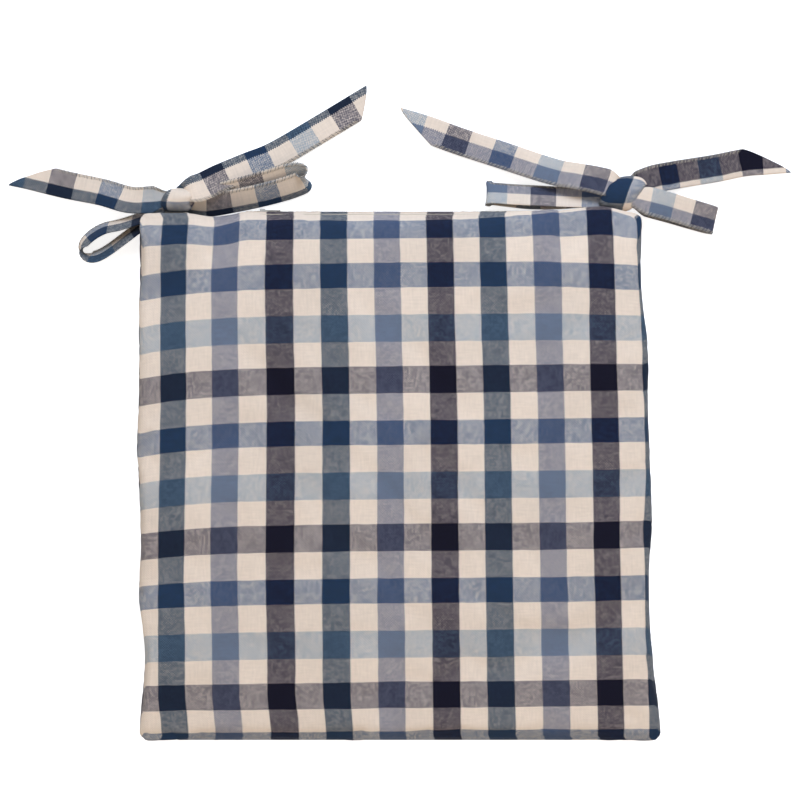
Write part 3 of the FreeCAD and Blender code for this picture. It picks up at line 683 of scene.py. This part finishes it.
def strap_piece(name, ribbon, u_of, v_of, cut=None):
    """The cloth of a strap. u_of and v_of give the place on the check, cut the slant of its end."""
    count = len(ribbon.s)
    turn = np.linspace(0, 2 * math.pi, SECTION, endpoint=False)
    e = np.sign(np.cos(turn)) * np.abs(np.cos(turn)) ** 0.55
    lift = np.sign(np.sin(turn)) * np.abs(np.sin(turn)) ** 0.5 * STRAP_THICK / 2
    share = np.linspace(0, 1, count)[:, None]
    s = share * ribbon.length * np.ones_like(e)[None]
    if cut is not None:
        s = s - cut(e)[None] * smooth((share - 0.55) / 0.45)
    e, lift = np.broadcast_to(e, s.shape), np.broadcast_to(lift, s.shape)
    points = ribbon.at(s, e, lift).reshape(-1, 3)
    uvs = np.stack([u_of(e), v_of(s)], -1).reshape(-1, 2)
    faces = grid_faces(count, SECTION, closed=True)
    faces.append(tuple(reversed(range(SECTION))))
    faces.append(tuple(range((count - 1) * SECTION, count * SECTION)))
    return mesh_piece(name, points, faces, [TIE_CLOTH], uvs)


def tube(points, radius, sides=5):
    """Rings and faces of a thin tube along a short line."""
    pts = np.array(points)
    tangent = np.gradient(pts, axis=0)
    tangent /= np.maximum(np.linalg.norm(tangent, axis=1), 1e-12)[:, None]
    guide = np.array([0.31, 0.52, 0.79])  # any direction that no thread follows
    first = np.cross(tangent, guide)
    first /= np.linalg.norm(first, axis=1)[:, None]
    second = np.cross(tangent, first)
    turn = np.linspace(0, 2 * math.pi, sides, endpoint=False)
    ring = np.cos(turn)[None, :, None] * first[:, None] + np.sin(turn)[None, :, None] * second[:, None]
    made = (pts[:, None] + ring * radius).reshape(-1, 3)
    faces = grid_faces(len(pts), sides, closed=True)
    last = (len(pts) - 1) * sides
    faces += [tuple(reversed(range(sides))), tuple(range(last, last + sides))]
    return made, faces


def threads(name, lines, radius, materials, body=None):
    """Many short threads as one piece. Each line is a list of points and the number of its material."""
    points, faces, picks, first = [], [], [], 0
    for line, pick in lines:
        made, quads = tube(line, radius)
        points.append(made)
        faces += [tuple(first + i for i in quad) for quad in quads]
        picks += [pick] * len(quads)
        first += len(made)
    piece = mesh_piece(name, np.concatenate(points), faces, materials, picks=picks)
    if body:
        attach(piece, body)
    return piece


def overlock(name, ribbon, edge, cut=None):
    """Overlock stitches that wrap one edge of a strap: every stitch leans, and two of five are dark."""
    rng = np.random.default_rng(len(name))
    lines = []
    start, stop = 0, ribbon.length
    if cut is not None:
        start, stop = 6 * MM, stop - float(cut(np.array([edge]))[0]) - TIP
    for i, s in enumerate(np.arange(start, stop, OVERLOCK_PITCH)):
        inner = 1 - OVERLOCK_WIDTH / (STRAP / 2) * (0.85 + 0.25 * rng.random())
        e = edge * np.array([inner, (1 + inner) / 2, 1.0, 1.02, 1.0, (1 + inner) / 2, inner])
        lift = STRAP_THICK * np.array([0.56, 0.6, 0.45, 0.0, -0.45, -0.6, -0.56])
        lean = OVERLOCK_PITCH * np.array([-1.3, -0.7, -0.15, 0, 0.15, 0.7, 1.3])
        lines.append((ribbon.at(s + lean, e, lift), int(i % 5 in (1, 3))))
    return threads(name, lines, 0.24 * MM, [CREAM_THREAD, DARK_THREAD])


def u_from(boundary, before):
    """Across a strap: how many millimetres of it lie before a stripe's boundary on the check."""
    return lambda e: (boundary * STRIPE) - before * MM + (e + 1) / 2 * STRAP


def v_from(row, at, step):
    """Along a strap: the row of the check at a place, and how many millimetres a row takes there."""
    return lambda s: (row + (s - at * MM) / (step * MM)) * ROW


def slanted(edge, back):
    """The slanting end of a tail: how far each line of the strap is cut back, furthest at the given edge."""
    return lambda e: back * MM * np.clip((1 + e * edge) / 2, 0, 1) ** 1.25


def middle(node):
    corner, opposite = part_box(node)
    return (corner + opposite) / 2


KNOTS = {tie: middle(f"{tie}_knot") for tie in ("left", "right")}
FLOOR = PAD_BOTTOM


def route(tie, points):
    """Places given in millimetres from a knot's middle in plan and above the floor."""
    knot = KNOTS[tie]
    return [(knot.x + x * MM, knot.y + y * MM, FLOOR + z * MM) for x, y, z in points]


def level_across(points):
    """The width directions of a strap that lies flat: level, to the left of its heading."""
    heading = np.gradient(np.array(points), axis=0)
    out = np.stack([-heading[:, 1], heading[:, 0], np.zeros(len(points))], -1)
    return out / np.linalg.norm(out, axis=1)[:, None]


def leaning(heading_x, heading_y, degrees):
    """The width direction of a loop that stands on its edge and leans over to the left of its heading."""
    lean = math.radians(degrees)
    return Vector((-heading_y * math.sin(lean), heading_x * math.sin(lean), math.cos(lean))).normalized()


def dress(name, ribbon, edge, u_of, v_of, cut=None):
    """Make a strap's cloth and overlock."""
    cloth = strap_piece(f"{name}_cloth", ribbon, u_of, v_of, cut)
    stitches = overlock(f"{name}_overlock", ribbon, edge, cut)
    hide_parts(name)
    for piece in (cloth, stitches):
        ribbon.spot(BLEND_START)
        ribbon.spot(BLEND_END)
        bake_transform(piece)


def make_tail(name, points, tilt, edge, u_of, v_of, back):
    """A tail of a bow. tilt is the strap's lean at each point in degrees; its overlocked edge is cut back furthest."""
    places = route(name.split("_")[0], points)
    lean = np.radians(np.array(tilt, float))[:, None]
    across = level_across(places) * np.cos(lean) + np.array([[0, 0, 1.0]]) * np.sin(lean)
    dress(name, Ribbon(places, across), edge, u_of, v_of, slanted(edge, back))


def make_loop(name, points, across, edge, u_of, v_of, neck=0.6):
    """A loop of a bow, there and back, with the strap's width in one direction all along."""
    places = route(name.split("_")[0], points)
    ribbon = Ribbon(
        places, [tuple(across)] * len(places), neck=neck, neck_length=20 * MM, both_ends=True, pleat=1.4 * MM
    )
    dress(name, ribbon, edge, u_of, v_of)


def make_left_bow():
    """Points of a strap go from the knot outwards. A loop's come back to it, on the upper or the lower strand."""
    make_tail(
        "left_outer_tail",
        [
            (-7, 0.5, 25), (-13, 0.5, 24.5), (-23, 0.5, 20.5), (-40, 1.5, 14.5),
            (-63, 9, 7), (-92, 15.5, 2.6), (-121, 22.8, 1.4), (-136, 26, 1.2),
        ],
        tilt=[0, 0, 6, 10, 8, 3, 0, 0],
        edge=-1,
        u_of=u_from(0, 13),
        v_of=v_from(4.5, 13, -20.3),
        back=34,
    )
    make_tail(
        "left_inner_tail",
        [
            (2, 4, 25), (9, 6, 30), (20, 10, 27), (33, 18, 20),
            (54, 29, 11), (75, 39, 5.5), (113, 62, 2.2), (152, 86, 1.4),
        ],
        tilt=[0, 0, 4, 6, 4, 2, 0, 0],
        edge=-1,
        u_of=u_from(0, 16),
        v_of=v_from(0.5, 33, 19.6),
        back=18,
    )
    make_loop(
        "left_outer_loop",
        [
            (-4, -2, 17), (-14, -6.5, 16), (-28, -12, 14), (-46, -17.5, 12.5), (-60, -20.5, 11.5),
            (-70, -26, 11), (-76.5, -33, 10.8), (-77, -39, 10.8), (-72, -43, 11), (-65, -42.5, 11),
            (-56, -37.5, 11.5), (-42, -27, 12.5), (-26, -15, 13.5), (-13, -7.5, 15), (-4, -2.5, 16.5),
        ],
        leaning(-0.867, -0.498, 34),
        edge=-1,
        u_of=u_from(0, 10),
        v_of=v_from(0.1, 18, 19.5),
    )
    make_loop(
        "left_inner_loop",
        [
            (3, -3, 18), (12, -3.5, 17), (24, -2.5, 14), (38, 0, 12), (58, 4, 11),
            (76, 8.5, 10.6), (90, 13, 10.5), (97.5, 17, 10.6), (96, 22, 10.8), (86, 21.5, 11),
            (70, 16.5, 11.3), (50, 10.5, 12), (30, 5, 14.5), (14, 1, 17), (4, -1, 18),
        ],
        leaning(0.974, 0.225, 45),
        edge=1,
        u_of=lambda e: -u_from(0, 6)(e),
        v_of=v_from(0.5, 28, 19.4),
    )


def make_right_bow():
    make_tail(
        "right_inner_tail",
        [
            (-1, 3, 25), (-8, 6, 30), (-20, 10, 28), (-36, 14, 24), (-54, 19, 17),
            (-92, 33.5, 7), (-126, 45.5, 2.4), (-150, 54.5, 1.6), (-176, 62.5, 1.4),
        ],
        tilt=[0, 0, 6, 10, 8, 4, 2, 0, 0],
        edge=1,
        u_of=u_from(2, 9),
        v_of=v_from(6.5, 24, -19.3),
        back=33,
    )
    make_tail(
        "right_outer_tail",
        [
            (2, 4, 20), (10, 6, 19.5), (26, 13, 14), (42, 17, 8.5), (58, 20.5, 4),
            (78, 24, 2.2), (100, 28.5, 1.6), (118, 30, 1.4), (137, 31.5, 1.2),
        ],
        tilt=[0, 0, 4, 6, 3, 2, 0, 0, 0],
        edge=1,
        u_of=u_from(4, 4.4),
        v_of=v_from(0.5, 6, 17.3),
        back=36,
    )
    make_loop(
        "right_inner_loop",
        [
            (-3, -2, 20), (-12, -2, 19.5), (-26, -2, 17), (-46, -1, 15.5), (-66, 0.2, 15),
            (-84, 1.2, 14.6), (-97, 2.2, 14.2), (-103.5, 2.4, 11.8), (-100.5, 1.6, 8.8), (-90, 0.6, 7),
            (-70, -1.2, 6.8), (-48, -1.2, 7.5), (-28, -0.5, 10), (-12, -2, 16), (-3, -2, 18),
        ],
        leaning(-0.997, 0.07, 55),
        edge=-1,
        u_of=u_from(3, 11),
        v_of=v_from(4.1, 105, -19.5),
    )
    make_loop(
        "right_outer_loop",
        [
            (2, -3, 27), (10, -4.5, 29), (22, -6.5, 26.5), (38, -9.5, 20.5), (56, -13.5, 13),
            (70, -16.8, 8.6), (75.4, -18.2, 6.2), (72, -17.4, 3.6), (58, -14, 5.6), (40, -10, 11.5),
            (24, -7, 18), (11, -4.5, 23.5), (3, -3, 24),
        ],
        (-0.235, -0.972, 0.0),
        edge=1,
        u_of=u_from(2, 11),
        v_of=v_from(4.5, 30, 19.5),
        neck=0.5,
    )


def make_knot(tie, u_start, v_start, twist, slant, stitched):
    """A knot: the band of strap that wraps it, with gathers at its edges, over the bunched strap inside."""
    low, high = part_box(f"{tie}_knot")
    centre, size = (low + high) / 2, high - low

    def girth(turn, e):
        return 1 - 0.16 * e**2 - 0.24 * np.abs(e) ** 7 + 0.035 * np.abs(e) ** 3 * np.sin(turn * 9 + 2 * e)

    def wrapped(turn, e, radius, lift=0.0):
        x = centre.x + size.x / 2 * (0.94 * e + 0.05 * np.sin(turn * 2 + twist)) + size.y * 0.3 * np.cos(turn) * slant
        y = centre.y + (size.y / 2 * radius + lift) * np.cos(turn)
        z = centre.z + (size.z / 2 * radius + lift) * np.sin(turn)
        return x, y, z

    around, across = 72, 26
    turn = np.linspace(0, 2 * math.pi, around, endpoint=False)[:, None]
    e = np.linspace(-1, 1, across)[None]
    points = np.stack(wrapped(turn, e, girth(turn, e) + 0.02 * np.sin(turn * 4 + 3 * e)), -1)
    u = u_start * STRIPE + (e + 1) / 2 * size.x + 0 * turn
    v = v_start * ROW + turn * (size.y + size.z) / 4 + 0 * e
    faces = grid_faces(around, across)
    last = (around - 1) * across
    faces += [(i, last + i, last + i + 1, i + 1) for i in range(across - 1)]
    uvs = np.stack([u, v], -1).reshape(-1, 2)
    piece = mesh_piece(f"{tie}_knot_band", points.reshape(-1, 3), faces, [TIE_CLOTH], uvs)
    apply_modifier(piece, "SOLIDIFY", thickness=BAND_THICK, offset=-1.0)
    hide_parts(f"{tie}_knot")
    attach(piece, "pad")
    # the overlock along one edge of the band
    lines = []
    for i, start in enumerate(np.arange(0, 2 * math.pi, 0.125)):
        row = []
        for step, lift in ((0.0, 0.5), (0.5, 0.7), (1.0, 0.5)):
            over = stitched * (0.76 + 0.22 * step)
            row.append(wrapped(start + 0.06 * step, over, girth(start, over), lift * MM))
        lines.append((row, i % 2))
    threads(f"{tie}_knot_overlock", lines, 0.3 * MM, [CREAM_THREAD, DARK_THREAD], "pad")
    # the bunched strap inside, ridged along its length and closed by a dome at each end
    rings, sides, ridges = 30, 72, 9
    half = size.x * 0.58
    along = np.linspace(-1, 1, rings)[:, None]
    turn = np.linspace(0, 2 * math.pi, sides, endpoint=False)[None]
    dome = np.sqrt(np.clip(1.0 - np.abs(along) ** 6, 0.02, 1))
    swell = (0.80 - 0.12 * along**2) * (1 + 0.07 * np.sin(turn * ridges + 1.5 * along)) * dome
    x = centre.x + half * along + 0 * turn
    y = centre.y + size.y / 2 * swell * np.cos(turn)
    z = centre.z + size.z / 2 * swell * np.sin(turn)
    u = STRIPE + turn * size.y / 2 + 0 * along
    v = along * half + 0 * turn
    faces = grid_faces(rings, sides, closed=True, flip=True)
    faces += [tuple(range(sides)), tuple(reversed(range((rings - 1) * sides, rings * sides)))]
    points, uvs = np.stack([x, y, z], -1).reshape(-1, 3), np.stack([u, v], -1).reshape(-1, 2)
    core = mesh_piece(f"{tie}_knot_core", points, faces, [TIE_CLOTH], uvs)
    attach(core, "pad")


def make_root(tie):
    """The gathered stub of strap between the back seam and the knot, and the zigzag that locks it."""
    low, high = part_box(f"{tie}_tie_root")
    knot = KNOTS[tie]
    x = (low.x + high.x) / 2
    places = [
        (x, low.y - 5 * MM, low.z + 1.5 * MM),
        (x, low.y + 1.5 * MM, low.z + 1.6 * MM),
        ((x + knot.x) / 2, high.y, low.z + 2.2 * MM),
        (knot.x, high.y + 1.5 * MM, low.z + 2.6 * MM),
    ]
    ribbon = Ribbon(places, [(-1, 0, 0)] * len(places), neck=0.96, neck_length=4 * MM, pleat=0.5 * MM)
    cloth = strap_piece(f"{tie}_tie_root_cloth", ribbon, u_from(1, 9), v_from(2.0, 0, 19))
    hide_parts(f"{tie}_tie_root")
    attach(cloth, "pad")
    low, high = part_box(f"{tie}_tie_bartack")
    stitches = 34
    end, top = low.z + 0.05 * MM, low.z + 0.4 * MM
    lines = []
    for i in range(stitches):
        x = low.x + (high.x - low.x) * (i + 0.5) / stitches
        near, far = (low.y, high.y) if i % 2 else (high.y, low.y)
        lines.append(([(x - 0.25 * MM, near, end), (x, (near + far) / 2, top), (x + 0.25 * MM, far, end)], 0))
    bartack = threads(f"{tie}_bartack_stitches", lines, 0.24 * MM, [CREAM_THREAD], "pad")
    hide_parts(f"{tie}_tie_bartack")


# ---- zip ----


def make_coil(name, node, lean):
    """A row of nylon coil turns. One turn is modelled and copied along the tape."""
    low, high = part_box(node)
    bpy.ops.object.select_all(action="DESELECT")
    bpy.ops.mesh.primitive_torus_add(
        major_radius=0.5, minor_radius=0.16, major_segments=12, minor_segments=6, rotation=(0, math.pi / 2, 0)
    )
    turn = bpy.context.object
    across = 2 * (0.5 + 0.16)
    turn.scale = (0.9 * MM, (high.y - low.y) / across, (high.z - low.z) / across)
    bpy.ops.object.transform_apply(location=False, rotation=True, scale=True)
    one = np.array([v.co for v in turn.data.vertices])
    one[:, 0] += lean * one[:, 2] * 0.35
    faces = [tuple(p.vertices) for p in turn.data.polygons]
    bpy.data.objects.remove(turn)
    pitch = 1.3 * MM
    points, quads = [], []
    for i in range(int((high.x - low.x) / pitch)):
        points.append(one + np.array([low.x + (i + 0.5) * pitch, (low.y + high.y) / 2, (low.z + high.z) / 2]))
        quads += [tuple(i * len(one) + k for k in face) for face in faces]
    piece = mesh_piece(name, np.concatenate(points), quads, [ZIP_COIL])
    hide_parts(node)
    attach(piece, "pad")


def make_zip_stitches():
    """Two rows of running stitch that hold the zip's tapes to the cover, above and below the slit."""
    for name, sign in (("zip_upper_stitches", 1), ("zip_lower_stitches", -1)):
        z = SEAM + sign * (SLIT_GAPE + 2.6 * MM)
        lines = []
        for x in np.arange(-SLIT_HALF - 4 * MM, SLIT_HALF + 4 * MM, 3.0 * MM):
            out = float(back_side(np.array(x))) + 0.95 * MM
            into = out - 0.7 * MM
            stitch = [(x, into, z), (x + 0.4 * MM, out, z), (x + 1.9 * MM, out, z), (x + 2.3 * MM, into, z)]
            lines.append((stitch, 0))
        threads(name, lines, 0.2 * MM, [CREAM_THREAD], "pad")


def make_label():
    """A blank satin ribbon folded in half, caught in the side seam."""
    low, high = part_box("care_label")
    x = (low.x + high.x) / 2
    down = [
        (0.22, high.z),
        (0.2, low.z + 4 * MM),
        (0.24, low.z + 0.6 * MM),
        (0, low.z),
        (-0.3, low.z + 0.6 * MM),
        (-0.34, low.z + 4 * MM),
        (-0.22, high.z),
    ]
    line, length = spline([(x + out * MM, 0.0, z) for out, z in down], 44)
    across = np.linspace(low.y, high.y, 30)
    points = []
    for px, _, pz in line:
        # the free end is a little hollow, the sewn one flat
        hollow = 0.12 * MM * (high.z - pz) / (high.z - low.z)
        points += [(px - hollow * math.sin((y - low.y) / (high.y - low.y) * math.pi), y, pz) for y in across]
    piece = mesh_piece("blank_label", points, grid_faces(len(line), len(across)), [LABEL_SATIN])
    apply_modifier(piece, "SOLIDIFY", thickness=LABEL_THICK, offset=0.0)
    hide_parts("care_label")
    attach(piece, "care_label")


def finish_cad_nodes():
    """Materials for the designed pieces that keep their shape."""
    finishes = {
        "zip_upper_tape": ZIP_TAPE,
        "zip_lower_tape": ZIP_TAPE,
        "zip_slider": ZIP_METAL,
        "zip_pull_tab": ZIP_METAL,
        "zip_top_stops": ZIP_METAL,
        "zip_bottom_stop": ZIP_METAL,
    }
    for node, material in finishes.items():
        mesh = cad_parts[node].data
        mesh.materials.clear()
        mesh.materials.append(material)


# ---- stage, lights and camera ----


def make_stage():
    bpy.ops.object.select_all(action="DESELECT")
    bpy.ops.mesh.primitive_plane_add(size=90, location=(0, 0, 0))
    floor = bpy.context.object
    floor.name = "studio_floor"
    floor.data.transform(floor.matrix_world)
    floor.matrix_world.identity()
    material, tree, shader = new_material("white_paper_sweep", roughness=0.9, specular_ior_level=0.1)
    shader.inputs["Base Color"].default_value = linear("#FBFBFB")
    shader.inputs["Emission Color"].default_value = (1, 1, 1, 1)
    # a little glow for the camera alone keeps the sweep white without lighting the pad's walls from below
    seen = add(tree, "ShaderNodeLightPath").outputs["Is Camera Ray"]
    glow = add(tree, "ShaderNodeMath", {0: seen, 1: 0.75}, operation="MULTIPLY")
    tree.links.new(glow.outputs[0], shader.inputs["Emission Strength"])
    floor.data.materials.append(material)


def make_light(name, place, aim, size, power, colour):
    data = bpy.data.lights.new(name, "AREA")
    data.size = size
    data.energy = power
    data.color = linear(colour)[:3]
    lamp = bpy.data.objects.new(name, data)
    bpy.context.scene.collection.objects.link(lamp)
    lamp.location = place
    lamp.rotation_euler = (Vector(aim) - Vector(place)).to_track_quat("-Z", "Y").to_euler()


def make_lights():
    make_light("window", (0.30, 1.35, 1.85), (0, 0, 0), 1.1, 30, "#EAF1FF")
    make_light("sill", (0.20, 1.00, 0.80), (0, 0, 0), 0.6, 2.8, "#8FC8FF")
    make_light("room", (0.35, -1.30, 1.70), (0, 0, 0), 1.6, 8, "#FFE8D0")
    world = bpy.data.worlds.new("pale_room")
    bpy.context.scene.world = world
    world.use_nodes = True
    shade = world.node_tree.nodes["Background"]
    shade.inputs[0].default_value = linear("#FAF5F0")
    shade.inputs[1].default_value = 0.42
    bpy.context.scene.view_settings.view_transform = "Standard"


def make_camera():
    """Straight down from 1.23 m, tilted by two degrees so that the bows have room at the top of the view."""
    data = bpy.data.cameras.new("camera")
    data.lens = 70
    data.sensor_width = 36
    camera = bpy.data.objects.new("camera", data)
    bpy.context.scene.collection.objects.link(camera)
    camera.location = (0.003, 0.015, 1.230)
    aim = Vector((0.003, 0.058, PAD_TOP))
    camera.rotation_euler = (aim - camera.location).to_track_quat("-Z", "Y").to_euler()
    bpy.context.scene.camera = camera


make_camera()
make_stage()
make_lights()
make_cover()
make_foam()
make_left_bow()
make_right_bow()
make_knot("left", u_start=0.78, v_start=1.2, twist=0.4, slant=0.3, stitched=1)
make_knot("right", u_start=0.12, v_start=1.7, twist=1.0, slant=0.6, stitched=-1)
make_root("left")
make_root("right")
make_coil("zip_upper_coil_turns", "zip_upper_coil", 1)
make_coil("zip_lower_coil_turns", "zip_lower_coil", -1)
make_zip_stitches()
make_label()
finish_cad_nodes()
